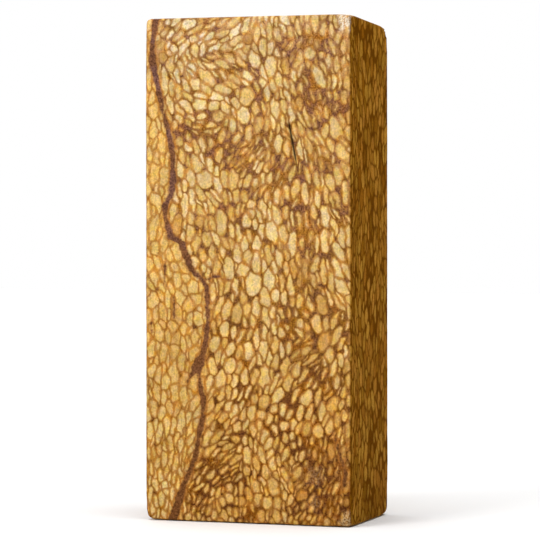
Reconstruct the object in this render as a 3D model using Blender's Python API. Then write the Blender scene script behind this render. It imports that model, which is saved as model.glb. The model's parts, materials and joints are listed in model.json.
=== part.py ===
"""A sawn block of spalted guava wood, standing on its sawn end.

Metres, +Z up. The origin is the middle of the footprint, on the surface that the block stands on. The broad
face with the drying check looks along -Y. The grain of the wood runs up the block, along Z.
"""

import bmesh
import bpy
from mathutils import Matrix, Vector, noise

# The sawn blank: a 5 inch length of 2 1/8 by 1 1/2 inch stock, as it came off the saw.
HEIGHT = 0.127
WIDTH = 0.054
DEPTH = 0.037
# The saw fence was a little off: the top end sits this far to the left of the bottom end.
TOP_OFFSET = -0.0011

# Every arris was rubbed down by hand. Its radius is this much, plus wear that comes and goes along it.
ARRIS_RADIUS = 0.0004
ARRIS_SEGMENTS = 3
WEAR_DEPTH = 0.00045
WEAR_LENGTH = 0.009
WEAR_SEED = Vector((3.1, 7.7, 1.9))
# The faces are divided this finely, so that the wear can change along each arris.
STATION_SPACING = 0.004
FIRST_STATION = 0.0025

# Corners that were knocked: which corner, as a sign for each axis, and how much more is gone there.
KNOCKED_CORNERS = {
    "front_left_bottom": ((-1, -1, -1), 0.0011),
    "front_left_top": ((-1, -1, 1), 0.0006),
    "front_right_top": ((1, -1, 1), 0.0005),
    "front_right_bottom": ((1, -1, -1), 0.0004),
    "back_right_top": ((1, 1, 1), 0.0016),
    "back_right_bottom": ((1, 1, -1), 0.0009),
    "back_left_top": ((-1, 1, 1), 0.0007),
}
KNOCK_REACH = 0.0045

# Nicks in the arrises: where each is, how far it runs along the arris, and how much more is gone there.
NICKS = {
    "back_right_low": ((WIDTH / 2, DEPTH / 2, 0.0060), 0.0030, 0.0008),
    "front_top_middle": ((-0.0080, -DEPTH / 2, HEIGHT), 0.0035, 0.0004),
    "front_base": ((0.0090, -DEPTH / 2, 0.0), 0.0030, 0.0004),
    "back_top": ((0.0060, DEPTH / 2, HEIGHT), 0.0040, 0.0006),
    "back_left_high": ((-WIDTH / 2, DEPTH / 2, 0.0910), 0.0035, 0.0006),
}

# The drying check: a hairline split that opened along the grain of the front face.
CHECK_TOP = Vector((0.0105, 0.0, 0.1008))
CHECK_FOOT = Vector((0.0132, 0.0, 0.0883))
CHECK_OPENING = 0.00026
CHECK_CUT = 0.0012

WOOD_COLOUR = (0.53, 0.29, 0.09, 1.0)
WOOD_ROUGHNESS = 0.42

HALF = Vector((WIDTH / 2, DEPTH / 2, HEIGHT / 2))
MIDDLE = Vector((0.0, 0.0, HEIGHT / 2))


def clear_scene():
    for thing in list(bpy.data.objects):
        bpy.data.objects.remove(thing)


def wood_material():
    """Oiled tan wood."""
    material = bpy.data.materials.new("spalted_guava")
    material.use_nodes = True
    shader = material.node_tree.nodes["Principled BSDF"]
    shader.inputs["Base Color"].default_value = WOOD_COLOUR
    shader.inputs["Roughness"].default_value = WOOD_ROUGHNESS
    shader.inputs["Metallic"].default_value = 0.0
    return material


def stations(half):
    """Where the block is divided along an axis: evenly, between the first station in from each end."""
    inner = half - FIRST_STATION
    count = round(2 * inner / STATION_SPACING)
    return [-inner + 2 * inner * i / count for i in range(count + 1)]


def worn_away(place):
    """How much the arris at this place has lost beyond its plain radius."""
    ripple = noise.noise(place / WEAR_LENGTH + WEAR_SEED)
    worn = WEAR_DEPTH * (0.5 + 0.5 * ripple)
    for signs, loss in KNOCKED_CORNERS.values():
        corner = MIDDLE + Vector(s * h for s, h in zip(signs, HALF))
        near = max(0.0, 1.0 - (place - corner).length / KNOCK_REACH)
        worn += loss * near * near * (3 - 2 * near)
    for centre, reach, loss in NICKS.values():
        near = max(0.0, 1.0 - (place - Vector(centre)).length / reach)
        worn += loss * near * near * (3 - 2 * near)
    return worn


def wear_arrises(mesh):
    """Opens each rounded arris to its worn radius. The broad faces, the sides and the ends stay flat."""
    on_arris = ARRIS_RADIUS * 1.001
    for vertex in mesh.verts:
        offset = vertex.co - MIDDLE
        inset = [HALF[axis] - abs(offset[axis]) for axis in range(3)]
        rounded = [axis for axis in range(3) if inset[axis] <= on_arris]
        if len(rounded) < 2:
            continue
        growth = 1.0 + worn_away(vertex.co) / ARRIS_RADIUS
        for axis in rounded:
            side = 1.0 if offset[axis] > 0 else -1.0
            vertex.co[axis] = MIDDLE[axis] + side * (HALF[axis] - inset[axis] * growth)


def lean(mesh):
    """Shears the block sideways by the fence's error, about mid height."""
    shear = Matrix.Identity(4)
    shear[0][2] = TOP_OFFSET / HEIGHT
    bmesh.ops.translate(mesh, verts=mesh.verts, vec=-MIDDLE)
    bmesh.ops.transform(mesh, verts=mesh.verts, matrix=shear)
    bmesh.ops.translate(mesh, verts=mesh.verts, vec=MIDDLE)


def sawn_block():
    """The blank: a box, divided so that its arrises can wear unevenly, rounded, worn and leaning."""
    mesh = bmesh.new()
    bmesh.ops.create_cube(mesh, size=1.0)
    bmesh.ops.scale(mesh, verts=mesh.verts, vec=HALF * 2)
    bmesh.ops.translate(mesh, verts=mesh.verts, vec=MIDDLE)
    for axis in range(3):
        normal = Vector((0.0, 0.0, 0.0))
        normal[axis] = 1.0
        for station in stations(HALF[axis]):
            everything = mesh.verts[:] + mesh.edges[:] + mesh.faces[:]
            at = MIDDLE + normal * station
            bmesh.ops.bisect_plane(mesh, geom=everything, plane_co=at, plane_no=normal)
    arrises = [edge for edge in mesh.edges if edge.calc_face_angle() > 1.0]
    bmesh.ops.bevel(
        mesh,
        geom=arrises,
        offset=ARRIS_RADIUS,
        offset_type="OFFSET",
        segments=ARRIS_SEGMENTS,
        profile=0.5,
        affect="EDGES",
    )
    wear_arrises(mesh)
    # The stations that cross the flat faces have done their work.
    bmesh.ops.dissolve_limit(mesh, angle_limit=0.0005, verts=mesh.verts[:], edges=mesh.edges[:])
    lean(mesh)
    return mesh


def check_cutter():
    """A thin wedge, pointed at both ends, that opens the drying check in the front face."""
    along = CHECK_FOOT - CHECK_TOP
    across = Vector((-along.z, 0.0, along.x)).normalized() * (CHECK_OPENING / 2)
    middle = (CHECK_TOP + CHECK_FOOT) / 2
    outline = [CHECK_TOP, middle + across, CHECK_FOOT, middle - across]
    mesh = bmesh.new()
    front_y = -DEPTH / 2
    proud = [mesh.verts.new((p.x, front_y - CHECK_CUT, p.z)) for p in outline]
    deep = [mesh.verts.new((p.x, front_y + CHECK_CUT, p.z)) for p in outline]
    mesh.faces.new(proud)
    mesh.faces.new(reversed(deep))
    for i in range(len(outline)):
        j = (i + 1) % len(outline)
        mesh.faces.new((proud[j], proud[i], deep[i], deep[j]))
    bmesh.ops.recalc_face_normals(mesh, faces=mesh.faces[:])
    return mesh


def add_object(name, mesh):
    data = bpy.data.meshes.new(name)
    mesh.to_mesh(data)
    mesh.free()
    thing = bpy.data.objects.new(name, data)
    bpy.context.scene.collection.objects.link(thing)
    return thing


clear_scene()
block = add_object("wood_block", sawn_block())
block.data.materials.append(wood_material())
cutter = add_object("check_cutter", check_cutter())
cutter.hide_render = True
cutter.display_type = "WIRE"
drying_check = block.modifiers.new("drying_check", "BOOLEAN")
drying_check.operation = "DIFFERENCE"
drying_check.solver = "EXACT"
drying_check.object = cutter
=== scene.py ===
import json
import math

import bpy
import numpy as np
from mathutils import Matrix, Vector, noise
from mathutils.bvhtree import BVHTree
from mathutils.kdtree import KDTree


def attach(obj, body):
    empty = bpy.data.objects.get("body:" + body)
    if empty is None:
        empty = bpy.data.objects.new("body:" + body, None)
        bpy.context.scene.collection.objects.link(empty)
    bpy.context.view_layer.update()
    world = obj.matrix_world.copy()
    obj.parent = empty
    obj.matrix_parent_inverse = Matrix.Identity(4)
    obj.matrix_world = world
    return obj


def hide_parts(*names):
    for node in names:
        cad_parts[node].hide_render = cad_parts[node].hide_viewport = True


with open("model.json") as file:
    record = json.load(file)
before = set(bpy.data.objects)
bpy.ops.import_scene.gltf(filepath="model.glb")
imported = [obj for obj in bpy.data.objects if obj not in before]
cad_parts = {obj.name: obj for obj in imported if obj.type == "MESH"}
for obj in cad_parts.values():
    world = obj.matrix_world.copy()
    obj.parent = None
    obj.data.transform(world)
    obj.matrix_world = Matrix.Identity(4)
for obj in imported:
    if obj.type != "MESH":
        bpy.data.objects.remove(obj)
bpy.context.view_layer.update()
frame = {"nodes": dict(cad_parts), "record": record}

# THE WOOD BLOCK
# One length of guava, sawn from a plank that had lain long enough for fungi to spalt it. The saw left it a
# little out of true, and its arrises were eased by hand. It stands on its sawn end, held by nothing.

# Its sizes
# The surface and the figure are worked out in millimetres, so the sizes are turned into millimetres once.
MM = 1000.0
HEIGHT = frame["record"]["size"]["bbox_m"][2] * MM
DEPTH = frame["record"]["size"]["bbox_m"][1] * MM
WIDTH = 54.0
# From its foot to its top the block leans this far to the left, about the middle of its height.
LEANS_LEFT_BY = 1.1
LEAN = -LEANS_LEFT_BY / HEIGHT
MID = HEIGHT / 2


def leaning(points):
    """Points of the upright block, moved to where they are in the block that leans."""
    moved = np.array(points, float)
    moved[..., 0] += LEAN * (moved[..., 2] - MID)
    return moved


# Its surface
# The surface is divided into small squares, finer towards each arris, where it follows the sawn solid.
SQUARE = 0.62
# How far in from each arris the first rows of squares lie.
ARRIS_ROWS = (0.0, 0.12, 0.26, 0.42, 0.62, 0.88, 1.2, 1.6, 2.1)


def rows(length):
    """Where the rows of squares lie along a side of this length, from one arris to the other."""
    inner = length - 2 * ARRIS_ROWS[-1]
    count = round(inner / SQUARE)
    middle = [ARRIS_ROWS[-1] + inner * i / count for i in range(1, count)]
    return np.array([*ARRIS_ROWS, *middle, *(length - r for r in reversed(ARRIS_ROWS))])


# Each side of the block: the axis that it faces along, which way, and the axes that run across it and up it.
SIDES = {
    "front": (1, -1, 0, 2),
    "back": (1, 1, 0, 2),
    "left": (0, -1, 1, 2),
    "right": (0, 1, 1, 2),
    "top": (2, 1, 0, 1),
    "foot": (2, -1, 0, 1),
}

lattice = [rows(WIDTH) - WIDTH / 2, rows(DEPTH) - DEPTH / 2, rows(HEIGHT)]
number = np.full([len(axis) for axis in lattice], -1)
rim = np.zeros(number.shape, bool)
for axis in range(3):
    for end in (0, -1):
        rim[tuple(end if a == axis else slice(None) for a in range(3))] = True
number[rim] = np.arange(rim.sum())
upright = np.stack(np.meshgrid(*lattice, indexing="ij"), -1)[rim]

half = np.array([WIDTH, DEPTH, HEIGHT]) / 2
centre = np.array([0.0, 0.0, MID])
# For the images that its finish is kept in, the block is also laid out flat, its sides this far apart: the
# four upright ones in one row, and the ends in a row above it.
FLAT_GAP = 1.0
flat_size = 2 * (WIDTH + DEPTH) + 3 * FLAT_GAP, HEIGHT + FLAT_GAP + DEPTH

squares, flat_corners = [], []
laid = np.zeros(2)
for side, (facing, way, first, second) in SIDES.items():
    grid = np.take(number, 0 if way < 0 else -1, axis=facing)
    corners = np.stack([grid[:-1, :-1], grid[1:, :-1], grid[1:, 1:], grid[:-1, 1:]], -1).reshape(-1, 4)
    flat = (upright + half - centre)[corners][..., [first, second]]
    # Seen from outside, the corners go round anticlockwise.
    if (way < 0) != (facing == 1):
        corners, flat = corners[:, ::-1], flat[:, ::-1] * (-1, 1) + (2 * half[first], 0)
    if side == "top":
        laid = np.array([0.0, HEIGHT + FLAT_GAP])
    squares.append(corners)
    flat_corners.append((flat + laid) / flat_size)
    laid[0] += 2 * half[first] + FLAT_GAP
squares = np.concatenate(squares)
flat_corners = np.concatenate(flat_corners)

# A ray runs out to each point near an arris from the block's core, and stops where it leaves the sawn solid.
# On the rounding, which is this near the arris, the wood is frayed by up to so much, broadly and in crumbs.
ROUNDING = 0.9
FRAY_BROAD = 0.05
FRAY_CRUMBS = 0.03

inset = half - np.abs(upright - centre)
from_arris = np.sort(inset, axis=1)[:, 1]
near_arris = from_arris <= ARRIS_ROWS[-1] + 0.01
solid = frame["nodes"]["wood_block"]
sawn = BVHTree.FromPolygons(
    [v.co * MM for v in solid.data.vertices], [list(p.vertices) for p in solid.data.polygons]
)
core = centre + np.clip(upright - centre, ARRIS_ROWS[-1] - half, half - ARRIS_ROWS[-1])
place = leaning(upright)
core = leaning(core)
outward = place - core
for i in np.flatnonzero(near_arris):
    direction = Vector(outward[i]).normalized()
    hit, _, _, _ = sawn.ray_cast(Vector(core[i]), direction)
    if hit:
        fray = FRAY_BROAD * (0.5 + 0.5 * noise.noise(Vector(place[i]) * 0.9))
        fray += FRAY_CRUMBS * max(0.0, noise.noise(Vector(place[i]) * 2.6))
        place[i] = hit - direction * (fray if from_arris[i] < ROUNDING else 0.0)


def smooth(low, high, x):
    """0 below low, 1 above high and an easy curve between them."""
    t = np.clip((np.asarray(x, float) - low) / (high - low), 0.0, 1.0)
    return t * t * (3 - 2 * t)


# The drying check in the front face: a hairline split that follows the grain. These are its two ends, across
# from the middle of the face and up from the foot.
CHECK_TOP = (10.5, 100.8)
CHECK_FOOT = (13.2, 88.3)
CHECK_OPENING = 0.26
CHECK_DEPTH = 1.1
# It closes more gently towards its foot than towards its top.
CHECK_FADE = 1.5
# How far beside and beyond the check the rows of squares bend to follow it, and how far beyond it the two rows
# beside it take to part again.
CHECK_BEND = 4.0
LIP_BEND = 3.0

on_front = (upright[:, 1] < -DEPTH / 2 + 1e-6) & ~near_arris
x, z = place[:, 0], place[:, 2]
down = np.clip((CHECK_TOP[1] - z) / (CHECK_TOP[1] - CHECK_FOOT[1]), 0, 1)
beyond = np.maximum(z - CHECK_TOP[1], 0) + np.maximum(CHECK_FOOT[1] - z, 0)
check_x = CHECK_TOP[0] + (CHECK_FOOT[0] - CHECK_TOP[0]) * down
check_mid = (CHECK_TOP[0] + CHECK_FOOT[0]) / 2
column = upright[np.argmin(np.abs(upright[:, 0] - check_mid)), 0]
reach = 1 - smooth(0, CHECK_BEND, np.abs(upright[:, 0] - column))
reach *= 1 - smooth(0, CHECK_BEND, beyond)
arch = np.sin(math.pi * (1 - (1 - down) ** CHECK_FADE))
opening = np.where(beyond > 0, 0.0, np.sqrt(np.maximum(arch, 0)))
bent = x + np.where(on_front, (check_x - LEAN * (z - MID) - column) * reach, 0.0)
from_column = np.abs(upright[:, 0] - column)
lip = on_front & (np.abs(from_column - SQUARE) < 0.1)
to_lip = np.sign(upright[:, 0] - column) * (CHECK_OPENING / 2 - from_column)
bent += np.where(lip, to_lip * (1 - smooth(0, LIP_BEND, beyond)), 0.0)
floor_of_check = on_front & (from_column < 1e-6)
place[:, 0] = bent
place[:, 1] += np.where(floor_of_check, CHECK_DEPTH * opening, 0.0)

# Where a corner or an arris was chipped, or the face scuffed, and is pale with dust and a painted glint: the
# place, how far it reaches, and how deep it is. The first two are the knocked corners at the right of the
# front face.
CHIPS = (
    ((25.2, -18.5, 125.4), 3.2, 0.30),
    ((26.7, -18.5, 1.6), 2.7, 0.07),
    ((18.2, -18.5, 12.0), 3.2, 0.02),
    ((18.0, -18.5, 5.6), 2.4, 0.02),
    ((-25.2, 18.5, 120.0), 2.4, 0.25),
    ((14.0, 18.5, 1.2), 3.0, 0.30),
)
# How ragged a chip's edge is, as a share of its reach, and how deep the chips are that hold the most pale dust
# and painted glint.
RAGGED_EDGE = 0.45
DEPTH_OF_MOST_DUST_AND_GLINT = 0.12
dust_and_glint = np.zeros(len(place))
for chipped_at, spread, depth in CHIPS:
    from_chip = np.linalg.norm(place - np.array(chipped_at), axis=1)
    for i in np.flatnonzero(from_chip < spread * 1.3):
        ragged = from_chip[i] / spread + RAGGED_EDGE * noise.noise(Vector(place[i]) * 0.8)
        amount = float(1 - smooth(0.35, 1.0, ragged))
        crumb = 0.5 + 0.5 * noise.noise(Vector(place[i]) * 2.3)
        place[i] += (centre - place[i]) / np.linalg.norm(centre - place[i]) * depth * amount * crumb
        dust_and_glint[i] = max(dust_and_glint[i], amount * min(1.0, depth / DEPTH_OF_MOST_DUST_AND_GLINT))

mesh = bpy.data.meshes.new("spalted_block")
mesh.from_pydata(place / MM, [], squares)
mesh.polygons.foreach_set("use_smooth", np.ones(len(squares), bool))
mesh.uv_layers.new(name="OFBake").uv.foreach_set("vector", flat_corners.astype(np.float32).ravel())
mesh.update()
block = bpy.data.objects.new("spalted_block", mesh)
bpy.context.scene.collection.objects.link(block)

# Its figure
# The fungi left the wood as a mosaic of pale spindles, which the saw cut through. Each cell is measured from
# its own middle with its own length, width and lean, and a point belongs to the cell that it is nearest to.
# These are the big cells of the front face: how far across from the left arris and up from the foot, then the
# width, the length, its lean to the right in degrees, and the tone from brown, 0, to cream, 1.
BIG_CELLS = np.array([
    (0.9, 125.3, 2.4, 3.2, 0, 0.9), (6.1, 126.0, 2.2, 2.2, 0, 0.95), (11.7, 125.4, 2.5, 4.2, 65, 0.95),
    (13.5, 123.9, 1.5, 5.0, 65, 0.6), (20.8, 125.7, 1.7, 4.0, 65, 0.6), (26.8, 124.7, 2.2, 4.2, 20, 0.75),
    (6.7, 122.8, 1.6, 3.0, 40, 0.9), (8.9, 122.6, 1.7, 3.3, 45, 0.9), (12.8, 121.5, 2.0, 2.8, 60, 0.95),
    (15.3, 122.7, 1.8, 2.7, 55, 0.95), (17.2, 122.0, 2.1, 3.8, 50, 0.95), (24.0, 120.8, 2.1, 3.6, 65, 0.95),
    (27.3, 121.4, 2.4, 2.8, 0, 0.3), (7.5, 119.0, 2.5, 2.5, 0, 1.0), (4.5, 117.2, 2.6, 3.2, 0, 0.45),
    (13.4, 118.2, 2.2, 4.6, -15, 0.85), (22.4, 116.6, 2.0, 4.0, -60, 0.9), (17.4, 114.9, 1.7, 3.8, -68, 0.85),
    (6.9, 115.2, 2.3, 4.6, 0, 0.7), (5.2, 110.9, 2.1, 6.6, 0, 0.75), (9.4, 114.5, 1.8, 3.4, -15, 0.95),
    (12.5, 114.5, 1.7, 3.3, -38, 0.9), (16.5, 111.8, 2.7, 5.6, -48, 0.95), (13.3, 110.2, 3.0, 3.9, -40, 0.95),
    (24.0, 111.1, 2.2, 3.6, -60, 0.7), (27.3, 112.1, 2.4, 4.2, -42, 0.95), (8.7, 108.2, 1.9, 3.9, -10, 0.85),
    (10.8, 104.6, 1.9, 4.6, -45, 0.9), (14.6, 105.0, 3.1, 3.8, 75, 0.95), (18.3, 104.7, 2.7, 3.4, 75, 0.95),
    (15.1, 102.0, 2.0, 2.9, 80, 0.95), (24.3, 104.9, 2.1, 3.8, -15, 0.95), (26.0, 102.0, 3.5, 4.2, -10, 0.95),
    (27.2, 106.7, 4.0, 4.4, -20, 0.9), (9.1, 101.7, 2.0, 2.8, -15, 0.9), (2.3, 103.5, 2.6, 4.2, 0, 0.75),
    (4.4, 95.8, 2.3, 4.6, -5, 0.8), (1.0, 111.4, 2.0, 6.0, 0, 0.75), (9.1, 95.8, 2.2, 2.9, -30, 0.8),
    (32.8, 123.1, 1.7, 5.0, -5, 0.85), (35.2, 122.2, 2.5, 4.0, -25, 0.9), (38.5, 122.8, 1.5, 4.4, -15, 0.7),
    (38.5, 119.4, 1.6, 4.0, 40, 0.65), (43.7, 117.4, 3.0, 3.3, 0, 0.65), (46.6, 116.8, 2.0, 2.7, -10, 0.85),
    (52.3, 118.9, 1.9, 4.0, 0, 0.6), (29.1, 115.8, 2.6, 4.9, -22, 0.95), (33.4, 114.2, 3.5, 5.1, 0, 0.9),
    (36.8, 117.2, 1.7, 1.9, 0, 0.95), (45.8, 111.4, 3.1, 6.3, -28, 0.9), (50.4, 114.8, 1.8, 4.0, 5, 0.7),
    (37.2, 114.5, 1.7, 5.0, -5, 0.4), (39.4, 111.9, 1.7, 3.2, -10, 0.85), (35.4, 110.9, 2.2, 4.2, -15, 0.9),
    (39.2, 108.8, 1.4, 3.6, -22, 0.9), (49.6, 110.3, 1.5, 4.0, -5, 0.85), (37.7, 107.0, 1.6, 3.5, -20, 0.85),
    (40.8, 104.9, 1.9, 3.5, -10, 0.35), (48.3, 106.9, 1.5, 2.7, 0, 0.9), (52.3, 106.2, 2.4, 4.0, 0, 0.45),
    (34.5, 103.8, 2.4, 5.0, -8, 0.75), (38.6, 102.3, 1.9, 4.4, -12, 0.8), (50.2, 98.9, 3.2, 6.0, -28, 0.85),
    (41.1, 98.6, 1.4, 4.6, -18, 0.8), (35.1, 95.0, 2.2, 4.8, 0, 0.75), (43.0, 94.7, 1.6, 6.0, -18, 0.8),
    (52.0, 92.6, 2.8, 5.0, -35, 0.75), (47.6, 92.4, 1.8, 3.4, -15, 0.8), (25.2, 90.2, 1.4, 3.4, 50, 0.6),
    (28.4, 91.6, 1.6, 3.2, 40, 0.8), (13.6, 90.2, 3.0, 4.6, -12, 0.85), (17.1, 89.7, 2.2, 4.2, -15, 0.95),
    (19.9, 92.4, 2.8, 4.2, 12, 0.85), (16.0, 86.0, 4.0, 3.7, 0, 0.95), (12.2, 86.4, 2.6, 4.6, -22, 0.95),
    (10.6, 84.4, 2.0, 3.6, -10, 0.9), (23.5, 85.8, 2.7, 5.2, 0, 0.8), (27.2, 85.8, 2.1, 4.0, 18, 0.8),
    (33.1, 86.6, 2.1, 3.4, 15, 0.85), (5.0, 86.6, 2.6, 4.6, 0, 0.75), (17.7, 81.2, 1.7, 4.6, -40, 0.95),
    (14.8, 78.0, 1.9, 3.8, -42, 0.9), (10.6, 79.5, 2.4, 6.0, 0, 0.85), (20.3, 75.4, 2.8, 6.0, 0, 0.9),
    (18.0, 74.6, 1.8, 4.2, -20, 0.9), (28.1, 79.9, 2.8, 2.6, 0, 0.9), (31.3, 78.8, 1.9, 4.6, -8, 1.0),
    (39.6, 83.6, 2.4, 5.2, 20, 0.85), (38.8, 87.6, 1.9, 5.0, 15, 0.8), (45.3, 85.6, 1.7, 5.0, -10, 0.9),
    (48.6, 85.4, 2.4, 5.0, -20, 0.8), (52.8, 88.6, 2.6, 4.2, -20, 0.75), (52.7, 82.4, 2.0, 5.6, -5, 0.75),
    (47.4, 76.8, 2.7, 5.4, -8, 0.95), (44.5, 78.2, 1.6, 4.6, -5, 0.8), (50.4, 77.4, 1.2, 4.0, -32, 0.85),
    (8.4, 74.6, 3.2, 5.2, 10, 0.6), (11.9, 72.6, 2.7, 4.8, 5, 0.9), (16.4, 71.2, 2.7, 3.8, 0, 0.8),
    (18.9, 71.2, 2.0, 4.2, -25, 0.95), (14.8, 75.4, 2.4, 3.2, 0, 0.45), (12.9, 65.4, 3.0, 3.2, 0, 0.95),
    (23.1, 73.2, 2.0, 4.4, 0, 0.9), (33.6, 73.0, 3.7, 5.4, 0, 0.95), (38.9, 70.0, 2.9, 7.0, 0, 0.85),
    (29.6, 70.0, 2.3, 4.2, 0, 1.0), (47.2, 70.6, 2.3, 6.0, -5, 0.95), (45.1, 70.0, 1.8, 5.0, -3, 0.8),
    (51.7, 71.6, 2.1, 4.8, -5, 0.75), (50.7, 68.0, 2.4, 5.0, -30, 0.9), (32.5, 67.4, 2.2, 4.8, -10, 0.8),
    (35.6, 66.4, 2.4, 4.8, 0, 0.9), (39.2, 63.6, 2.4, 5.0, 0, 0.5), (28.7, 59.9, 4.2, 5.8, 0, 0.95),
    (32.9, 60.8, 3.3, 6.0, -5, 0.95), (26.0, 63.4, 3.0, 3.8, 0, 0.9), (34.3, 57.2, 2.2, 3.6, -20, 1.0),
    (36.1, 60.4, 1.4, 5.0, -5, 0.8), (51.6, 59.4, 2.6, 5.2, -40, 0.9), (46.6, 54.8, 3.0, 5.4, -15, 0.68),
    (48.4, 56.4, 1.4, 4.6, -20, 0.9), (40.6, 55.8, 2.0, 4.0, 0, 0.6), (36.0, 47.6, 2.1, 3.4, -20, 1.0),
    (41.0, 50.2, 2.2, 2.8, -40, 0.85), (50.3, 47.4, 2.1, 5.0, 30, 0.85), (46.9, 45.8, 2.8, 5.4, 22, 0.68),
    (42.6, 43.2, 1.8, 3.2, 60, 0.75), (43.7, 41.3, 1.5, 5.0, 52, 0.65), (48.5, 42.4, 2.4, 4.2, -5, 0.7),
    (51.4, 41.2, 1.9, 3.6, 0, 0.85), (31.3, 43.4, 2.4, 5.2, 0, 0.95), (37.1, 39.5, 2.5, 5.0, 15, 0.75),
    (34.4, 40.6, 2.2, 3.8, 5, 0.7), (31.6, 36.8, 2.9, 5.6, 8, 0.75), (37.8, 35.4, 2.6, 4.8, 15, 0.7),
    (18.4, 44.8, 2.9, 4.3, 0, 0.75), (21.6, 53.4, 2.5, 5.2, 22, 0.85), (17.8, 57.6, 1.7, 5.0, 0, 0.8),
    (26.9, 53.2, 2.4, 3.6, 0, 0.75), (22.6, 39.2, 2.9, 4.0, 8, 0.85), (4.6, 59.0, 1.8, 3.6, -25, 0.75),
    (8.6, 60.6, 2.8, 3.8, -20, 0.8), (13.6, 56.0, 2.8, 2.8, 0, 0.72), (1.8, 55.4, 2.8, 4.0, 0, 0.7),
    (7.2, 49.0, 2.6, 3.8, 0, 0.65), (13.2, 46.2, 2.2, 3.6, 0, 0.7), (1.6, 43.2, 2.4, 4.0, 0, 0.7),
    (5.0, 30.8, 2.1, 3.8, 0, 0.75), (7.9, 32.4, 2.4, 4.6, 0, 0.65), (16.6, 21.0, 2.3, 4.2, 28, 0.75),
    (17.2, 25.6, 2.0, 3.6, 30, 0.7), (20.9, 26.2, 1.8, 3.4, 45, 0.7), (23.5, 27.8, 1.9, 3.8, 30, 1.0),
    (22.0, 18.8, 1.9, 3.0, 65, 0.75), (17.2, 18.0, 1.7, 4.2, 45, 0.75), (21.6, 15.8, 1.3, 5.0, 55, 0.8),
    (20.9, 13.2, 1.6, 3.4, 45, 0.8), (27.0, 16.8, 2.2, 4.4, -12, 0.8), (29.4, 15.0, 1.9, 4.0, -5, 0.85),
    (30.9, 27.1, 2.6, 2.4, 0, 0.95), (36.5, 24.4, 2.4, 2.3, 0, 0.95), (36.6, 28.8, 2.0, 3.8, 26, 0.8),
    (32.7, 20.2, 2.1, 3.6, 18, 0.85), (42.6, 31.8, 2.7, 4.4, 28, 0.75), (46.6, 28.4, 1.9, 4.8, 15, 0.85),
    (49.4, 30.0, 2.7, 5.0, 18, 0.75), (45.6, 23.4, 2.7, 3.6, 0, 0.75), (48.6, 24.4, 1.9, 4.6, 5, 0.8),
    (52.2, 27.4, 2.0, 2.8, 0, 0.75), (48.9, 18.6, 2.1, 4.8, 0, 0.3), (51.0, 23.0, 1.5, 4.0, 10, 0.75),
    (40.2, 13.0, 2.4, 3.6, 40, 0.75), (37.1, 12.4, 2.0, 3.6, -22, 0.75), (34.0, 9.2, 2.9, 4.8, -22, 0.8),
    (29.1, 9.4, 2.0, 4.6, -25, 0.75), (32.3, 5.0, 2.7, 3.6, 0, 0.7), (35.1, 5.2, 2.1, 3.3, 0, 0.75),
    (41.5, 7.4, 2.4, 3.4, 35, 0.5), (52.8, 10.0, 1.9, 3.4, 0, 0.5), (52.8, 6.4, 1.9, 2.4, 0, 0.25),
    (50.2, 9.4, 1.5, 4.2, 20, 0.8), (5.1, 8.8, 1.8, 1.8, 0, 0.95), (5.6, 7.0, 1.8, 2.0, 0, 0.9),
    (22.3, 6.2, 2.5, 2.7, -20, 0.75), (6.6, 19.4, 1.7, 4.2, 0, 0.8), (5.0, 15.4, 2.0, 4.0, 0, 0.7),
    (1.2, 22.2, 2.0, 4.0, 0, 0.8), (24.0, 21.0, 2.2, 2.6, 20, 0.75), (25.6, 5.4, 2.0, 2.4, 20, 0.7),
])

# The dark zone line: across and up along its middle on the front face, and its half width at a few heights.
ZONE_ROUTE = np.array([
    (2.9, 127), (2.5, 124.6), (1.9, 120.5), (1.9, 116.6), (2.6, 112.8), (3.3, 109.6), (4.6, 104), (6.2, 98.5),
    (7.3, 92.5), (7.5, 87), (7.0, 82.3), (5.2, 79.4), (5.3, 77.2), (5.9, 74.4), (7.0, 71.6), (9.6, 70.2),
    (11.0, 66.6), (12.6, 63.0), (15.0, 61.0), (16.2, 59.3), (16.6, 55.6), (16.6, 50.6), (16.1, 45.5),
    (15.1, 41.0), (14.3, 37.0), (15.0, 32.8), (15.5, 30.3), (15.2, 26), (14.3, 21.8), (13.4, 16.4),
    (12.0, 13.2), (10.4, 9.4), (8.9, 4.8), (7.3, 0),
])
ZONE_HALF_WIDTH = np.array([
    (0, 1.1), (6, 1.0), (12, 0.7), (20, 0.65), (60, 0.6), (70.5, 0.9), (76, 0.75), (84, 0.8), (95, 0.66),
    (110, 0.68), (118, 0.76), (127, 0.74),
])

# Dark strokes that leave the zone line or stand beside it: from across and up, to across and up, and the half
# width at each end.
STROKES = (
    (14.6, 40.6, 11.2, 35.0, 1.15, 0.25),
    (16.0, 60.6, 18.6, 61.8, 0.35, 0.28),
    (18.6, 61.8, 23.0, 60.8, 0.28, 0.14),
    (5.2, 64.5, 5.3, 60.2, 0.35, 0.2),
    (7.7, 56.4, 7.6, 51.2, 0.2, 0.12),
    (1.7, 50.0, 1.9, 46.0, 0.25, 0.15),
    (9.0, 70.9, 6.6, 73.0, 0.5, 0.3),
    (50.0, 21.6, 51.3, 17.0, 0.3, 0.5),
    (51.3, 17.0, 52.6, 13.2, 0.5, 0.5),
    (52.6, 13.2, 52.3, 10.2, 0.5, 0.3),
)

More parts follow.
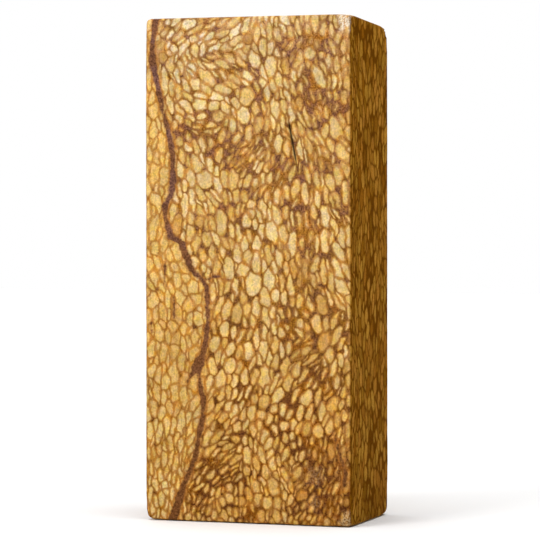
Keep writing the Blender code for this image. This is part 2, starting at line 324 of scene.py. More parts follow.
# Where the brown, softer wood between the cells widens: across, up, half width, half height and strength.
BROWN_PATCHES = np.array([
    (5.0, 124.8, 1.2, 2.0, 0.6), (11.0, 123.0, 2.6, 1.0, 0.4), (17.0, 124.3, 2.2, 1.4, 0.4),
    (17.5, 117.8, 3.4, 1.0, 0.9), (23.5, 113.4, 4.0, 1.0, 0.9), (20.0, 111.6, 1.3, 1.6, 0.7),
    (9.0, 98.0, 1.8, 1.6, 1.0), (13.0, 98.0, 4.0, 2.6, 0.7), (20.0, 95.0, 4.0, 3.0, 0.7),
    (18.9, 101.4, 1.6, 1.6, 0.7), (24.2, 98.0, 1.6, 2.0, 0.55), (42.5, 120.2, 2.4, 1.6, 1.0),
    (47.0, 119.6, 3.2, 3.4, 1.0), (36.6, 119.5, 1.6, 2.6, 0.8), (38.6, 116.2, 1.4, 2.4, 0.9),
    (43.2, 109.6, 2.4, 3.6, 1.0), (47.0, 104.6, 4.0, 3.4, 0.9), (30.6, 106.2, 1.5, 2.8, 1.0),
    (29.0, 111.6, 1.0, 2.4, 0.8), (31.5, 96.5, 2.6, 3.2, 0.8), (44.4, 98.4, 1.8, 2.2, 0.5),
    (51.4, 103.6, 1.8, 2.0, 0.8), (47.6, 90.0, 2.8, 2.4, 1.0), (41.4, 88.2, 1.8, 3.0, 0.8),
    (35.6, 89.6, 2.2, 2.8, 0.9), (35.0, 85.4, 2.4, 2.4, 0.7), (26.8, 89.6, 1.6, 2.2, 1.0),
    (23.6, 93.2, 2.8, 2.6, 0.6), (29.0, 83.0, 2.6, 1.8, 0.8), (40.8, 77.0, 2.6, 3.2, 0.75),
    (38.0, 80.2, 2.2, 1.6, 0.5), (45.0, 74.2, 1.4, 1.4, 1.0), (43.2, 68.4, 2.0, 2.4, 0.9),
    (41.8, 72.4, 2.2, 2.4, 0.7), (52.0, 77.6, 1.6, 2.8, 0.8), (49.0, 67.0, 1.8, 1.8, 0.8),
    (31.8, 70.6, 1.4, 1.6, 0.8), (21.8, 79.0, 1.6, 1.4, 0.6), (24.4, 76.0, 2.4, 2.4, 0.5),
    (37.6, 50.8, 1.8, 3.0, 1.0), (40.6, 53.4, 2.8, 1.6, 0.7), (40.8, 60.2, 1.4, 2.8, 0.55),
    (44.0, 58.0, 2.0, 2.4, 0.5), (49.8, 52.6, 2.4, 2.2, 1.0), (38.2, 46.4, 2.6, 1.2, 0.9),
    (44.3, 46.4, 1.4, 2.2, 1.0), (38.8, 42.6, 2.0, 2.0, 0.8), (45.2, 39.2, 1.8, 1.8, 1.0),
    (43.0, 35.4, 2.4, 2.0, 0.8), (27.8, 37.4, 1.4, 2.2, 0.6), (48.4, 34.6, 3.0, 3.4, 0.8),
    (25.8, 47.4, 1.6, 2.0, 0.9), (25.0, 58.6, 1.6, 1.6, 0.8), (26.6, 32.2, 2.6, 1.6, 0.6),
    (37.6, 31.6, 1.6, 2.4, 0.9), (34.4, 24.6, 1.6, 2.6, 0.8), (42.0, 20.0, 4.4, 2.4, 0.9),
    (45.0, 12.4, 3.4, 4.4, 1.0), (47.6, 5.6, 3.4, 3.4, 1.0), (40.0, 4.2, 2.6, 1.4, 0.9),
    (27.4, 1.0, 2.4, 1.4, 1.0), (51.2, 14.4, 1.8, 2.8, 0.9), (24.6, 21.4, 2.2, 2.4, 0.7),
    (26.6, 31.0, 1.2, 3.4, 0.4), (18.6, 15.4, 2.8, 1.6, 0.8), (15.0, 13.4, 2.4, 1.4, 0.8),
    (20.4, 10.6, 1.8, 2.4, 0.9), (14.0, 6.0, 3.0, 3.6, 0.7), (24.5, 11.0, 2.0, 3.0, 0.5),
    (38.6, 29.0, 1.6, 1.6, 0.8), (16.4, 48.2, 1.8, 1.6, 0.8), (49.6, 22.0, 1.8, 1.4, 0.8),
    (53.0, 48.0, 1.2, 2.4, 0.8), (30.4, 49.4, 2.4, 1.2, 0.6),
])


# Behind the front face it comes and goes by itself, over about this far across the grain and up it.
WILD_ACROSS, WILD_UP = 5, 9
MOST_BROWN = 1.1


def how_brown(points):
    """How much of the softer brown wood there is at each of these points of the upright block."""
    across, up = points[:, 0] + half[0], points[:, 2]
    behind = smooth(1.0, 5.0, points[:, 1] + half[1])
    spread = ((across[:, None] - BROWN_PATCHES[:, 0]) / BROWN_PATCHES[:, 2]) ** 2
    spread += ((up[:, None] - BROWN_PATCHES[:, 1]) / BROWN_PATCHES[:, 3]) ** 2
    placed = (BROWN_PATCHES[:, 4] * np.exp(-0.7 * spread)).sum(1) * (1 - behind)
    scale, start = np.array([WILD_ACROSS, WILD_ACROSS, WILD_UP]), np.array([3, -7, 1])
    wild = np.array([noise.noise(Vector(p)) for p in points / scale + start])
    return np.clip(placed + 0.95 * smooth(0.02, 0.5, wild) * behind, 0, MOST_BROWN)


def like_the_big_ones(across, up):
    """The lean in radians, width, length and tone that the big cells nearby would give a cell at a place."""
    apart = (across[:, None] - BIG_CELLS[:, 0]) ** 2 + (0.75 * (up[:, None] - BIG_CELLS[:, 1])) ** 2
    share = 1 / (apart + 1.5) ** 2
    share /= share.sum(1)[:, None]
    width, length, lean, tone = BIG_CELLS[:, 2:].T
    # A lean and its opposite are the same line, so the leans are averaged with their angles doubled.
    doubled = np.radians(2 * lean)
    pull = length / width
    mean = np.arctan2(share @ (np.sin(doubled) * pull), share @ (np.cos(doubled) * pull)) / 2
    return mean, share @ width, share @ length, share @ tone


def on_side(side, across, up):
    """Points on a side of the block from how far they lie across it and up it, before the block leans."""
    facing, way, first, second = SIDES[side]
    points = np.zeros((len(across), 3))
    points[:, facing] = way * half[facing] + centre[facing]
    points[:, first] = across + centre[first] - half[first]
    points[:, second] = up + centre[second] - half[second]
    return points


# How far a cell turns from the lean that its place calls for, in radians.
TURNS_BY = 0.16
# The smaller cells of the broad faces take these shares of the width and length of the big ones near them,
# which count between these least and most. They are smaller still in the brown wood and at the foot.
SHARE_OF_WIDTH, SHARE_OF_LENGTH = 0.80, 0.95
BIG_WIDTHS, BIG_LENGTHS = (1.6, 2.6), (3.2, 5.2)
SMALLER_IN_BROWN, SMALLER_AT_FOOT = 0.22, 0.18
# The cells of the narrow sides, and how much narrower and shorter they are beside the front face.
SIDE_CELL_WIDTH, SIDE_CELL_LENGTH = 2.6, 4.4
NARROWER, SHORTER = 1.1, 0.4
# The width of the cells of the ends.
END_CELL_WIDTH = 2.1


def drawn_cells(side, across, up, size, dice):
    """Shapes for cells drawn at these places on a side: each one's long axis, width, length and tone."""
    n = len(across)
    turn = dice.normal(0, TURNS_BY, n)
    long_axis = np.zeros((n, 3))
    if side in ("front", "back"):
        # The figure of the back is that of the front turned end for end.
        from_foot = up if side == "front" else HEIGHT - up
        lean, width, length, tone = like_the_big_ones(across, from_foot)
        lean = lean + turn if side == "front" else turn - lean
        room = 1 - SMALLER_IN_BROWN * np.minimum(how_brown(on_side(side, across, up)), 1)
        room *= 1 - SMALLER_AT_FOOT * (1 - smooth(10, 24, from_foot))
        room *= size * dice.uniform(0.78, 1.2, n)
        width = SHARE_OF_WIDTH * np.clip(width, *BIG_WIDTHS) * room
        length = SHARE_OF_LENGTH * np.clip(length, *BIG_LENGTHS) * room**0.7 * dice.uniform(0.85, 1.25, n)
        long_axis[:, 0], long_axis[:, 2] = np.sin(lean), np.cos(lean)
    elif side in ("left", "right"):
        beside_front = 1 - smooth(2, 14, across)
        lean = 1.3 * turn + 0.25 * np.sin(up / 11 + across / 7)
        width = (SIDE_CELL_WIDTH - NARROWER * beside_front) * size * dice.uniform(0.8, 1.15, n)
        length = (SIDE_CELL_LENGTH - SHORTER * beside_front) * size * dice.uniform(0.8, 1.3, n)
        tone = dice.uniform(0.45, 0.95, n)
        long_axis[:, 1], long_axis[:, 2] = np.sin(lean), np.cos(lean)
    else:
        # The ends cut across the spindles, a little aslant.
        swing = 1.4 * np.sin(across / 13 + up / 17) + turn
        tilt = dice.uniform(0.3, 0.9, n)
        width = np.full(n, END_CELL_WIDTH * size)
        length = width * dice.uniform(1.4, 2.0, n)
        tone = dice.uniform(0.55, 0.95, n)
        long_axis[:, 0] = np.sin(tilt) * np.cos(swing)
        long_axis[:, 1] = np.sin(tilt) * np.sin(swing)
        long_axis[:, 2] = np.cos(tilt)
    return long_axis, width, np.maximum(length, width * 1.04), tone


def tight_and_long(long_axis, width, length):
    """What measures a cell: 1 over its half width squared, and its axis, scaled to ease that along it."""
    tight = (2 / width) ** 2
    return tight, long_axis * np.sqrt(np.maximum(tight - (2 / length) ** 2, 0))[:, None]


def measure(apart, tight, loose):
    """How far a point lies from a cell's middle, in units that are 1 at the cell's rim."""
    along = (apart * loose).sum(-1)
    return np.sqrt(np.maximum(tight * (apart * apart).sum(-1) - along * along, 1e-9))


# The other cells are thrown like darts, the large ones first. They are thrown over one patch of a side after
# another, a few at a time, and a cell stays where it is pressed by no other by much.
CELL_SEED = 7
ROUNDS = 46
THROWS = 34
PATCH = 11.0
# A patch begins, and a cell may lie, this far beyond an arris.
BEYOND = 0.5
# The size in the first round and in the last, as a share of the size that the place calls for.
LARGEST, SMALLEST = 1.16, 0.62
# How hard two cells may press on each other, and how much less than that in the brown wood.
PRESS = 1.13
PRESS_LESS_IN_BROWN = 0.16
# How far round a patch other cells are looked for.
LOOK_ROUND = 6.0


def press(apart, one, other):
    """How hard two cells, given by what they are measured with, press on each other at this distance."""
    return 1 / measure(apart, *one) + 1 / measure(apart, *other)


dice = np.random.default_rng(CELL_SEED)
big_lean = np.radians(BIG_CELLS[:, 4])
big_axis = np.stack([np.sin(big_lean), np.zeros(len(big_lean)), np.cos(big_lean)], 1)
cell_at = on_side("front", BIG_CELLS[:, 0], BIG_CELLS[:, 1])
cell_tight, cell_loose = tight_and_long(big_axis, BIG_CELLS[:, 2], BIG_CELLS[:, 3])
cell_tone = BIG_CELLS[:, 5]
for side, (facing, way, first, second) in SIDES.items():
    span_across, span_up = 2 * half[first], 2 * half[second]
    patches = [
        (low_across, low_up)
        for low_across in np.arange(-BEYOND, span_across + BEYOND, PATCH)
        for low_up in np.arange(-BEYOND, span_up + BEYOND, PATCH)
    ]
    for round_no in range(ROUNDS):
        size = LARGEST + (SMALLEST - LARGEST) * round_no / (ROUNDS - 1)
        for low_across, low_up in patches:
            across = low_across + dice.uniform(0, PATCH, THROWS)
            up = low_up + dice.uniform(0, PATCH, THROWS)
            on_block = (across < span_across + BEYOND) & (up < span_up + BEYOND)
            across, up = across[on_block], up[on_block]
            if not len(across):
                continue
            thrown = on_side(side, across, up)
            axis, width, length, tone = drawn_cells(side, across, up, size, dice)
            tight, loose = tight_and_long(axis, width, length)
            close_by = np.flatnonzero(np.abs(cell_at - thrown.mean(0)).max(1) < PATCH / 2 + LOOK_ROUND)
            apart = thrown[:, None] - cell_at[None, close_by]
            others = cell_tight[close_by], cell_loose[close_by]
            pressed = press(apart, (tight[:, None], loose[:, None]), others)
            allowed = PRESS - PRESS_LESS_IN_BROWN * np.minimum(how_brown(thrown), 1)
            stays = []
            for i in np.flatnonzero(pressed.max(1, initial=0) < allowed):
                pressed = press(thrown[i] - thrown[stays], (tight[i], loose[i]), (tight[stays], loose[stays]))
                if pressed.max(initial=0) < allowed[i]:
                    stays.append(i)
            cell_at = np.concatenate([cell_at, thrown[stays]])
            cell_tight = np.concatenate([cell_tight, tight[stays]])
            cell_loose = np.concatenate([cell_loose, loose[stays]])
            cell_tone = np.concatenate([cell_tone, tone[stays]])

cell_at = leaning(cell_at)
cell_chance = dice.uniform(0, 1, len(cell_at))

# Every square of the surface keeps the few cells that any of its points may be nearest to.
CELLS_KEPT = 6
CELLS_LOOKED_AT = 18

tree = KDTree(len(cell_at))
for i, middle in enumerate(cell_at):
    tree.insert(middle, i)
tree.balance()
square_middle = place[squares].mean(1)
closest = np.array([[i for _, i, _ in tree.find_n(m, CELLS_LOOKED_AT)] for m in square_middle])
away = measure(square_middle[:, None] - cell_at[closest], cell_tight[closest], cell_loose[closest])
closest = np.take_along_axis(closest, np.argsort(away, axis=1)[:, :CELLS_KEPT], axis=1)


def keep_on(domain, name, values):
    """Stores three numbers for each point or each square of the block, for its finish to read."""
    layer = mesh.attributes.new(name, "FLOAT_VECTOR", domain)
    layer.data.foreach_set("vector", np.asarray(values, np.float32).ravel())


for k in range(CELLS_KEPT):
    chosen = closest[:, k]
    keep_on("FACE", f"cell_middle_{k}", cell_at[chosen])
    keep_on("FACE", f"cell_loose_{k}", cell_loose[chosen])
    kind = np.stack([cell_tight[chosen], cell_tone[chosen], cell_chance[chosen]], 1)
    keep_on("FACE", f"cell_kind_{k}", kind)

# The zone line is the edge of a wall that the fungus built through the wood, so it runs on over the ends and
# comes out again on the back. For each millimetre of depth it drifts this far to the right.
ZONE_DRIFT_AT_FOOT = -0.10
ZONE_DRIFT_AT_TOP = 0.07


def zone_middle(y, z):
    """How far to the right the zone wall lies at this depth and height."""
    back = y + DEPTH / 2
    along = z + 0.18 * back * np.sin(z / 23)
    on_face = np.interp(along, ZONE_ROUTE[::-1, 1], ZONE_ROUTE[::-1, 0])
    drift = np.interp(z, (0.55 * HEIGHT, HEIGHT), (ZONE_DRIFT_AT_FOOT, ZONE_DRIFT_AT_TOP))
    wander = drift * back + 0.9 * (np.sin(back / 5.5 + z / 19) - np.sin(z / 19))
    return on_face - WIDTH / 2 + LEAN * (z - MID) + wander


# The wall's slopes up and back are taken over this distance each way.
STEP = 0.4
X, Y, Z = place.T
from_zone = X - zone_middle(Y, Z)
slope_up = (zone_middle(Y, Z + STEP) - zone_middle(Y, Z - STEP)) / (2 * STEP)
slope_back = (zone_middle(Y + STEP, Z) - zone_middle(Y - STEP, Z)) / (2 * STEP)
half_width = np.interp(Z, *ZONE_HALF_WIDTH.T)
to_zone = np.abs(from_zone) / np.sqrt(1 + slope_up**2 + slope_back**2) - half_width
left_of_zone = 1 - smooth(-0.6, 0.6, from_zone)

upright_x = X - LEAN * (Z - MID)
front_across = upright_x + WIDTH / 2
behind = 1.5 * (Y + DEPTH / 2)
to_dark_line = to_zone
for start_across, start_up, end_across, end_up, start_half, end_half in STROKES:
    run = np.array([end_across - start_across, end_up - start_up])
    from_start = np.stack([front_across - start_across, Z - start_up], 1)
    share = np.clip(from_start @ run / (run @ run), 0, 1)
    beside = np.linalg.norm(from_start - share[:, None] * run, axis=1)
    to_stroke = np.hypot(beside, behind) - (start_half + (end_half - start_half) * share)
    to_dark_line = np.minimum(to_dark_line, to_stroke)

# There is little brown wood left of the zone line.
brown = how_brown(upright) * (1 - 0.85 * left_of_zone)
check_dark = np.where(floor_of_check, 1.0, np.where(lip, 0.74, 0.0)) * np.minimum(1.0, 1.6 * opening)
# Where the block's narrow sides are, with their arrises.
narrow = smooth(WIDTH / 2 - 0.5, WIDTH / 2 - 0.05, np.abs(upright_x))

keep_on("POINT", "place_mm", place)
keep_on("POINT", "figure", np.stack([brown, left_of_zone, to_dark_line], 1))
keep_on("POINT", "marks", np.stack([dust_and_glint, check_dark, narrow], 1))

# Its finish
# The colours follow the figure: pale cells inside orange margins, thin dark walls, and soft wood between the
# cells that has gone purple-brown. The wood is bare, sanded and dull. Its narrow sides are darker and deeper,
# partly their own colour and partly painted shade.


class Paint:
    """A socket in the wood's finish, so that the maths on it reads as plain sums."""

    nodes, links = None, None

    def __init__(self, socket):
        self.socket = socket

    @classmethod
    def make(cls, kind, settings=None, sockets=None, out=0):
        """Adds a node of this kind: its settings first, then its sockets' values and links."""
        node = cls.nodes.new("ShaderNode" + kind)
        for name, value in (settings or {}).items():
            setattr(node, name, value)
        for name, value in (sockets or {}).items():
            socket = next(s for s in node.inputs if name in (s.identifier, s.name) and s.enabled)
            if isinstance(value, Paint):
                cls.links.new(value.socket, socket)
            else:
                socket.default_value = value
        return cls(node.outputs[out])

    @staticmethod
    def is_vector(value):
        return isinstance(value, tuple) or (isinstance(value, Paint) and value.socket.type != "VALUE")

    @classmethod
    def sum_of(cls, operation, a, b):
        """Two numbers go through Math, and vectors and colours go through Vector Math."""
        if not (cls.is_vector(a) or cls.is_vector(b)):
            return cls.make("Math", {"operation": operation}, {"Value": a, "Value_001": b})
        if operation == "MULTIPLY" and not (cls.is_vector(a) and cls.is_vector(b)):
            vector, number = (a, b) if cls.is_vector(a) else (b, a)
            return cls.make("VectorMath", {"operation": "SCALE"}, {"Vector": vector, "Scale": number})
        return cls.make("VectorMath", {"operation": operation}, {"Vector": a, "Vector_001": b})

    def __add__(self, other):
        return self.sum_of("ADD", self, other)

    def __radd__(self, other):
        return self.sum_of("ADD", other, self)

    def __sub__(self, other):
        return self.sum_of("SUBTRACT", self, other)

    def __rsub__(self, other):
        return self.sum_of("SUBTRACT", other, self)

    def __mul__(self, other):
        return self.sum_of("MULTIPLY", self, other)

    def __rmul__(self, other):
        return self.sum_of("MULTIPLY", other, self)

    def __truediv__(self, other):
        return self.sum_of("DIVIDE", self, other)

    def __rtruediv__(self, other):
        return self.sum_of("DIVIDE", other, self)

    def __lt__(self, other):
        return self.sum_of("LESS_THAN", self, other)

    def least(self, other):
        return self.sum_of("MINIMUM", self, other)

    def most(self, other):
        return self.sum_of("MAXIMUM", self, other)

    def dot(self, other):
        return self.make("VectorMath", {"operation": "DOT_PRODUCT"}, {"Vector": self, "Vector_001": other}, 1)

    def long(self):
        return self.make("VectorMath", {"operation": "LENGTH"}, {"Vector": self}, 1)

    def root(self):
        return self.make("Math", {"operation": "SQRT"}, {"Value": self})

    def wave(self):
        return self.make("Math", {"operation": "SINE"}, {"Value": self})

    def soft_least(self, other, rounding):
        """The lesser of the two, with the crossover rounded off over this much."""
        sockets = {"Value": self, "Value_001": other, "Value_002": rounding}
        return self.make("Math", {"operation": "SMOOTH_MIN"}, sockets)

    def ease(self, low, high):
        """0 below low, 1 above high and an easy curve between them."""
        settings = {"interpolation_type": "SMOOTHSTEP"}
        return self.make("MapRange", settings, {"Value": self, "From Min": low, "From Max": high})

    def parts(self):
        """The three numbers of a vector."""
        node = self.make("SeparateXYZ", None, {"Vector": self}).socket.node
        return [Paint(output) for output in node.outputs]

    def blend(self, start, end):
        """From start, where this is 0, to end, where it is 1: two numbers, or else two vectors or colours."""
        colours = self.is_vector(start) or self.is_vector(end)
        kind, word, out = ("RGBA", "Color", 2) if colours else ("FLOAT", "Float", 0)
        sockets = {"Factor_Float": self, f"A_{word}": start, f"B_{word}": end}
        return self.make("Mix", {"data_type": kind}, sockets, out)

    def tinted(self, mask, tint):
        """This colour, multiplied by the tint where the mask is 1."""
        return mask.blend(self, self * tint)


def paint(red, green, blue):
    """A colour as the eye reads it, 0 to 255, turned into the light that it stands for."""
    light = [c / 255 / 12.92 if c <= 10 else ((c / 255 + 0.055) / 1.055) ** 2.4 for c in (red, green, blue)]
    return (*light, 1.0)


wood = bpy.data.materials.new("spalted_wood")
wood.use_nodes = True
Paint.nodes, Paint.links = wood.node_tree.nodes, wood.node_tree.links


def stored(name):
    """What the block's points or squares keep under this name."""
    return Paint.make("Attribute", {"attribute_name": name}, None, 1)


def speckle(at, per_mm, detail=2.0, out=0):
    """Noise that comes and goes this many times in a millimetre."""
    return Paint.make("TexNoise", None, {"Vector": at, "Scale": per_mm, "Detail": detail}, out)


spot = stored("place_mm")
brown, left_of_zone, to_dark_line = stored("figure").parts()
dust_and_glint, check_dark, narrow = stored("marks").parts()
_, front_to_back, up_block = spot.parts()
brownness = brown.least(1.0)
# The wood is deeper and yellower towards the foot. This is 0 there and 1 towards the top.
high_up = up_block.ease(5.0, 120.0)
blotches = speckle(spot, 0.4, 1.0)
mottle = speckle(spot, 0.8, 2.0)
grain = speckle(spot, 2.4, 2.0)

# The cells' outlines waver by up to about half of this many millimetres, finely and broadly.
FINE_WAVER = 0.65
BROAD_WAVER = 1.1
fine_waver = speckle(spot, 1.1, 1.0, 1) - (0.5, 0.5, 0.5)
broad_waver = speckle(spot, 0.42, 0.0, 1) - (0.5, 0.5, 0.5)
wavering = spot + fine_waver * FINE_WAVER + broad_waver * BROAD_WAVER

# Each point is measured from the few cells that its square keeps, and belongs to the nearest.
nearest = nearest_slope = tone = chance = None
measured = []
for k in range(CELLS_KEPT):
    apart = wavering - stored(f"cell_middle_{k}")
    loose = stored(f"cell_loose_{k}")
    tight, own_tone, own_chance = stored(f"cell_kind_{k}").parts()
    along = apart.dot(loose)
    away = (tight * apart.dot(apart) - along * along).most(1e-6).root()
    slope = (apart * tight - loose * along) * (1.0 / away)
    measured.append((away, slope))
    if nearest is None:
        nearest, nearest_slope, tone, chance = away, slope, own_tone, own_chance
        continue
    nearer = away < nearest
    nearest_slope = nearer.blend(nearest_slope, slope)
    tone = nearer.blend(tone, own_tone)
    chance = nearer.blend(chance, own_chance)
    nearest = nearest.least(away)

# How far a point lies inside its cell, in millimetres, from the walls shared with the cells round it, whose
# corners are rounded off, and from its rim.
CORNER_ROUNDING = 0.65
RIM_ROUNDING = 0.3
LEAST_SLOPE = 0.02
OUT_OF_THE_WAY = 9.0
to_wall = None
for away, slope in measured:
    itself = (away - nearest) < 1e-5
    wall = (away - nearest) / (slope - nearest_slope).long().most(LEAST_SLOPE) + OUT_OF_THE_WAY * itself
    to_wall = wall if to_wall is None else to_wall.soft_least(wall, CORNER_ROUNDING)
cell_size = 1.0 / nearest_slope.long().most(LEAST_SLOPE)
# The rim lies further in and the walls are wider where the wood is brown.
rim_at = 1.13 - 0.38 * brownness + 0.34 * (speckle(spot, 0.35, 1.0) - 0.5) + 0.16 * left_of_zone
to_rim = (rim_at - nearest) * cell_size
half_wall = 0.45 * (blotches - 0.36) + 0.25 * brownness - 0.03 * left_of_zone + 0.1 * narrow
inside = (to_wall - half_wall).soft_least(to_rim, RIM_ROUNDING)
# The edges of the cells are soft in the brown wood, on the narrow sides and in a few vague places.
vague = speckle(spot, 0.22, 1.0).ease(0.46, 0.62)
softness = (0.8 * brownness).most(narrow).most(0.5 * left_of_zone).most(0.8 * vague)
cell = inside.ease(-0.22 - 0.2 * softness, 0.3 + 0.3 * softness)
deep = inside.ease(-0.02, 0.5)

# The tones of the cells, from brown to cream, and of their margins.
GHOST, AMBER = paint(176, 124, 64), paint(213, 163, 88)
STRAW, CREAM = paint(231, 193, 116), paint(244, 217, 153)
MARGIN = paint(163, 111, 52), paint(211, 160, 87)
MARGIN_LEFT_OF_ZONE = paint(199, 143, 66)
unlike = (0.40 - 0.24 * left_of_zone) * (chance - 0.5)
tone = (tone + unlike - (0.25 * high_up - 0.05) * brownness - 0.13 * left_of_zone).most(0.0).least(1.0)
darker = tone.ease(0.0, 0.45).blend(GHOST, AMBER)
paler = tone.ease(0.70, 1.0).blend(STRAW, CREAM)
body = tone.ease(0.35, 0.70).blend(darker, paler)
margin = tone.ease(0.1, 0.9).blend(*MARGIN)
margin = (0.7 * left_of_zone).blend(margin, MARGIN_LEFT_OF_ZONE)
cell_colour = deep.blend(margin, body)
# Some cells are redder and some greyer than the rest.
red_or_grey = (chance * 57.0).wave()
cell_colour = cell_colour.tinted(red_or_grey.ease(0.3, 1.0), (1.0, 0.95, 0.88))
cell_colour = cell_colour.tinted(red_or_grey.ease(-0.3, -1.0), (0.95, 0.97, 0.98))
# Just inside its wall a cell often has a second, fainter outline.
second_outline = inside.ease(0.14, 0.24) * inside.ease(0.36, 0.26) * (chance * 23.0).wave().ease(-0.6, 0.2)
cell_colour = cell_colour.tinted(0.4 * second_outline, (0.86, 0.76, 0.56))
# The middles of some are specked.
specked = (chance * 91.0).wave().ease(-0.2, 0.4)
specks = nearest.ease(0.65, 0.15) * speckle(spot, 1.9, 1.0).ease(0.5, 0.62) * specked
cell_colour = cell_colour.tinted(0.7 * specks, (0.72, 0.76, 0.62))
# Their colour is mottled, and blushes in broad patches.
cell_colour = cell_colour.tinted(mottle.ease(0.48, 0.72), (0.90, 0.82, 0.70))
cell_colour = cell_colour.tinted(mottle.ease(0.46, 0.28), (1.04, 1.06, 1.06))
blush = speckle(spot * (1.0, 1.0, 0.6), 0.16, 2.0).ease(0.48, 0.68)
cell_colour = cell_colour.tinted(0.4 * blush, (0.95, 0.82, 0.6))
# In some cells the growth shows as faint rings.
rings = (inside * 16.0 + chance * 40.0).wave() * (chance * 31.0).wave().ease(0.3, 0.9)
cell_colour = cell_colour * (1.0 + 0.08 * rings)
# Right of the zone line they darken a little, and most towards the foot.
FOOT_AND_TOP_TINT = paint(249, 236, 213), paint(240, 240, 246)
cell_colour = cell_colour * left_of_zone.blend(high_up.blend(*FOOT_AND_TOP_TINT), paint(255, 255, 255))

# The walls between the cells are dark and thin in some places and faint in others. Each pair of colours is the
# one towards the foot and the one towards the top.
THIN_WALL = paint(98, 53, 6), paint(112, 67, 22)
FAINT_WALL = paint(168, 114, 52), paint(195, 143, 80)
THIN_WALL_LEFT = paint(128, 75, 23), paint(148, 92, 39)
FAINT_WALL_LEFT = paint(176, 120, 48), paint(196, 142, 68)
faint = blotches.ease(0.36, 0.66)
right_wall = faint.blend(high_up.blend(*THIN_WALL), high_up.blend(*FAINT_WALL))
left_wall = faint.blend(high_up.blend(*THIN_WALL_LEFT), high_up.ease(0.0, 0.3).blend(*FAINT_WALL_LEFT))
wall_colour = (0.85 * left_of_zone).blend(right_wall, left_wall)
# The soft wood is crumbly. It is purple in some places and orange in others, and deepest at the foot.
CRUMB_DARK = paint(108, 66, 42), paint(133, 81, 28)
CRUMB_PALE = paint(153, 105, 69), paint(181, 125, 56)
crumbs = 0.5 * (grain + speckle(spot, 3.2, 1.0))
orange = speckle(spot, 0.2, 1.0).ease(0.48, 0.66)
soft_wood = crumbs.ease(0.36, 0.64).blend(orange.blend(*CRUMB_DARK), orange.blend(*CRUMB_PALE))
soft_wood = high_up.ease(0.45, 0.8).blend(soft_wood * (1.02, 1.02, 0.7), soft_wood)
soft_wood = high_up.ease(0.0, 0.5).blend(soft_wood * (0.64, 0.51, 0.38), soft_wood)
beside_cell = inside.ease(-0.30, -0.10) * (1.0 - 0.35 * brownness)
colour = cell.blend(beside_cell.blend(soft_wood, wall_colour), cell_colour)
# Orange glows through in spots, patches are yellower or greyer than the rest, and the top is bleached.
glow = speckle(spot, 0.5, 1.0).ease(0.50, 0.70) * inside.ease(0.9, 0.1)
colour = colour.tinted(glow, (1.05, 0.92, 0.68))
colour = colour * (speckle(spot, 0.6, 2.0) * (0.0, 0.0, -1.6) + (1.0, 1.0, 1.83))
colour = colour.tinted(up_block.ease(106.0, 124.0), (1.03, 1.08, 1.3))

# The zone line and the strokes are brown at the foot and purple in patches higher up, with an orange fringe.
# The first of each pair is the brown.
LINE_DARK = paint(100, 60, 28), paint(98, 66, 62)
LINE_PALE = paint(134, 86, 48), paint(138, 98, 84)
LINE_FRINGE = paint(184, 118, 52)
line_waver = speckle(spot, 0.9, 2.0) - 0.5
swell = 1.1 * (speckle(spot, 0.16, 1.0) - 0.5)
purple = high_up * (0.25 + 0.6 * speckle(spot, 0.3, 1.0).ease(0.36, 0.64))
line_colour = grain.ease(0.25, 0.8).blend(purple.blend(*LINE_DARK), purple.blend(*LINE_PALE))
line = (to_dark_line + line_waver + swell).ease(0.26, -0.26)
fringe = (to_dark_line + 2.0 * line_waver + swell).ease(0.8, 0.0)
colour = (0.6 * fringe).blend(colour, LINE_FRINGE)
colour = line.blend(colour, line_colour)

CHECK_SHADE = paint(26, 22, 18)
DUST_AND_GLINT = paint(234, 206, 156), paint(243, 231, 208)
colour = check_dark.ease(0.42, 0.9).blend(colour, CHECK_SHADE)
# Chips and scuffs are paled by dust and by a painted glint.
dust_and_glint_mask = 0.95 * dust_and_glint * speckle(spot, 2.6, 2.0).ease(0.36, 0.62)
colour = dust_and_glint_mask.blend(colour, high_up.blend(*DUST_AND_GLINT))

# On the narrow sides the colours are darker and deeper: partly the wood's own colour and partly painted shade.
# There the cells are softer the further they lie from the front face.
SHADED_SIDE_WALL = paint(113, 66, 0)
SHADED_SIDE_CELL = paint(146, 92, 6), paint(194, 137, 46)
further = front_to_back.ease(-DEPTH / 2, 0.0)
soft_cell = inside.ease(-0.15 - 0.2 * further, 0.25 + 0.35 * further)
shaded_side_cell = tone.ease(0.3, 1.0).blend(*SHADED_SIDE_CELL)
shaded_side_cell = (0.5 + 0.5 * red_or_grey).blend(shaded_side_cell * (0.98, 1.04, 1.0), shaded_side_cell * (1.03, 0.96, 1.0))
shaded_side_cell = shaded_side_cell.tinted(mottle.ease(0.46, 0.7), (0.84, 0.78, 0.7))
# The narrow sides' colour, painted shade included, is a little lighter towards the foot.
shaded_side_colour = soft_cell.blend(SHADED_SIDE_WALL, shaded_side_cell) * (1.04 - 0.10 * high_up)

# Along the grain the fibres are a little lighter and darker by turns.
fibre = speckle(spot * (1.0, 1.0, 0.15), 3.0, 1.0)
drift = speckle(spot, 0.25, 1.0)
light = (0.80 + 0.15 * high_up) * (0.23 + 0.50 * fibre + 1.04 * grain) * (0.75 + 0.5 * drift)
finished = narrow.blend(colour, shaded_side_colour) * light

# The cells stand a hair proud of the softer wood, and the fibres can just be felt.
rough = 0.48 + 0.14 * (1 - cell) + 0.3 * dust_and_glint.most(narrow)
relief = 0.02 * cell + 0.012 * fibre + 0.02 * grain * (1 - cell)
bump = Paint.make("Bump", None, {"Height": relief, "Distance": 1 / MM, "Strength": 0.5})
shader = wood.node_tree.nodes["Principled BSDF"]
shader.inputs["Specular IOR Level"].default_value = 0.01
for socket, value in (("Base Color", finished), ("Roughness", rough), ("Normal", bump)):
    Paint.links.new(value.socket, shader.inputs[socket])

mesh.materials.append(wood)
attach(block, "root")
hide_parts("wood_block")

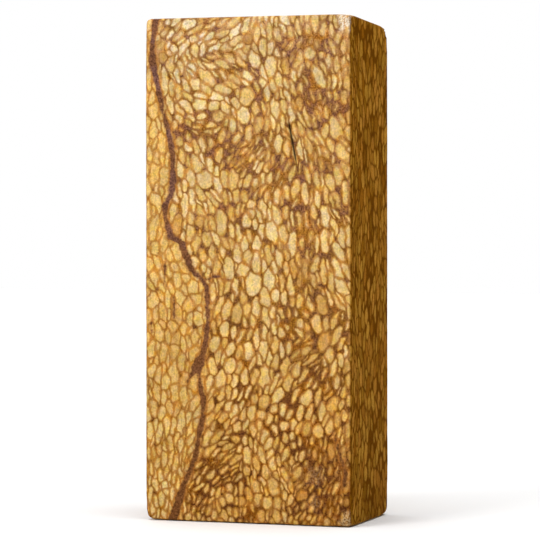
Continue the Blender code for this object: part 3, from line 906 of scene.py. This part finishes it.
# THE FLOOR
# A plain pale floor of matt paint, wide enough to meet the white that is behind it. It lies a hair below the
# block's foot, so that the two surfaces don't fight.
FLOOR_HALF = 6.0
FLOOR_BELOW = 0.0002
floor_corners = [(x * FLOOR_HALF, y * FLOOR_HALF, 0) for x, y in ((-1, -1), (1, -1), (1, 1), (-1, 1))]
floor_mesh = bpy.data.meshes.new("floor")
floor_mesh.from_pydata(floor_corners, [], [(0, 1, 2, 3)])
floor = bpy.data.objects.new("floor", floor_mesh)
floor.location.z = -FLOOR_BELOW
bpy.context.scene.collection.objects.link(floor)
floor_paint = bpy.data.materials.new("floor_paint")
floor_paint.use_nodes = True
matt = floor_paint.node_tree.nodes["Principled BSDF"]
matt.inputs["Base Color"].default_value = (0.9, 0.9, 0.9, 1)
matt.inputs["Roughness"].default_value = 1.0
matt.inputs["Specular IOR Level"].default_value = 0.0
floor_mesh.materials.append(floor_paint)

# THE LIGHT
# Three soft lamps: one overhead for the floor, one at the front left for the block, and a weaker one behind.
# The room round them is white where it is seen, and gives little light itself.
ROOM_LIGHT = 0.12
ROOM_SEEN = 1.0
# Each lamp's power, how wide it is in degrees, and where it hangs, as seen from the block.
LAMPS = {
    "overhead": (2.75, 60, (0.05, -0.1, 1.0)),
    "front_left": (1.62, 30, (-0.45, -0.8, 0.4)),
    "back_left": (0.7, 60, (-0.5, 0.75, 0.45)),
}
for name, (power, wide, towards) in LAMPS.items():
    lamp = bpy.data.lights.new(name, "SUN")
    lamp.energy = power
    lamp.angle = math.radians(wide)
    stand = bpy.data.objects.new(name, lamp)
    stand.rotation_euler = Vector(towards).to_track_quat("Z", "Y").to_euler()
    bpy.context.scene.collection.objects.link(stand)

room = bpy.data.worlds.new("white_room")
room.use_nodes = True
bpy.context.scene.world = room
backdrop = room.node_tree.nodes["Background"]
backdrop.inputs["Color"].default_value = (1, 1, 1, 1)
seen = room.node_tree.nodes.new("ShaderNodeLightPath")
room_strength = room.node_tree.nodes.new("ShaderNodeMapRange")
room_strength.inputs["To Min"].default_value = ROOM_LIGHT
room_strength.inputs["To Max"].default_value = ROOM_SEEN
room.node_tree.links.new(seen.outputs["Is Camera Ray"], room_strength.inputs["Value"])
room.node_tree.links.new(room_strength.outputs[0], backdrop.inputs["Strength"])

# THE CAMERA
# It stands level with the middle of the block and to the right of its front face, with a long lens. It is
# turned to the left and rolled a little, both in radians.
CAMERA_AT = (0.18527, -0.60037, 0.06343)
CAMERA_TURN = 0.29875
CAMERA_ROLL = 0.00751
CAMERA_LENS = 162.5
CAMERA_SENSOR = 36.0

camera_data = bpy.data.cameras.new("camera")
camera_data.sensor_width = CAMERA_SENSOR
camera_data.lens = CAMERA_LENS
camera_data.clip_start = 0.01
camera = bpy.data.objects.new("camera", camera_data)
sight = Vector((-math.sin(CAMERA_TURN), math.cos(CAMERA_TURN), 0))
level = Vector((math.cos(CAMERA_TURN), math.sin(CAMERA_TURN), 0))
upward = Vector((0, 0, 1))
right = level * math.cos(CAMERA_ROLL) + upward * math.sin(CAMERA_ROLL)
top = upward * math.cos(CAMERA_ROLL) - level * math.sin(CAMERA_ROLL)
pose = Matrix((right, top, -sight)).transposed().to_4x4()
pose.translation = CAMERA_AT
camera.matrix_world = pose
bpy.context.scene.collection.objects.link(camera)
bpy.context.scene.camera = camera
bpy.context.scene.view_settings.view_transform = "Standard"
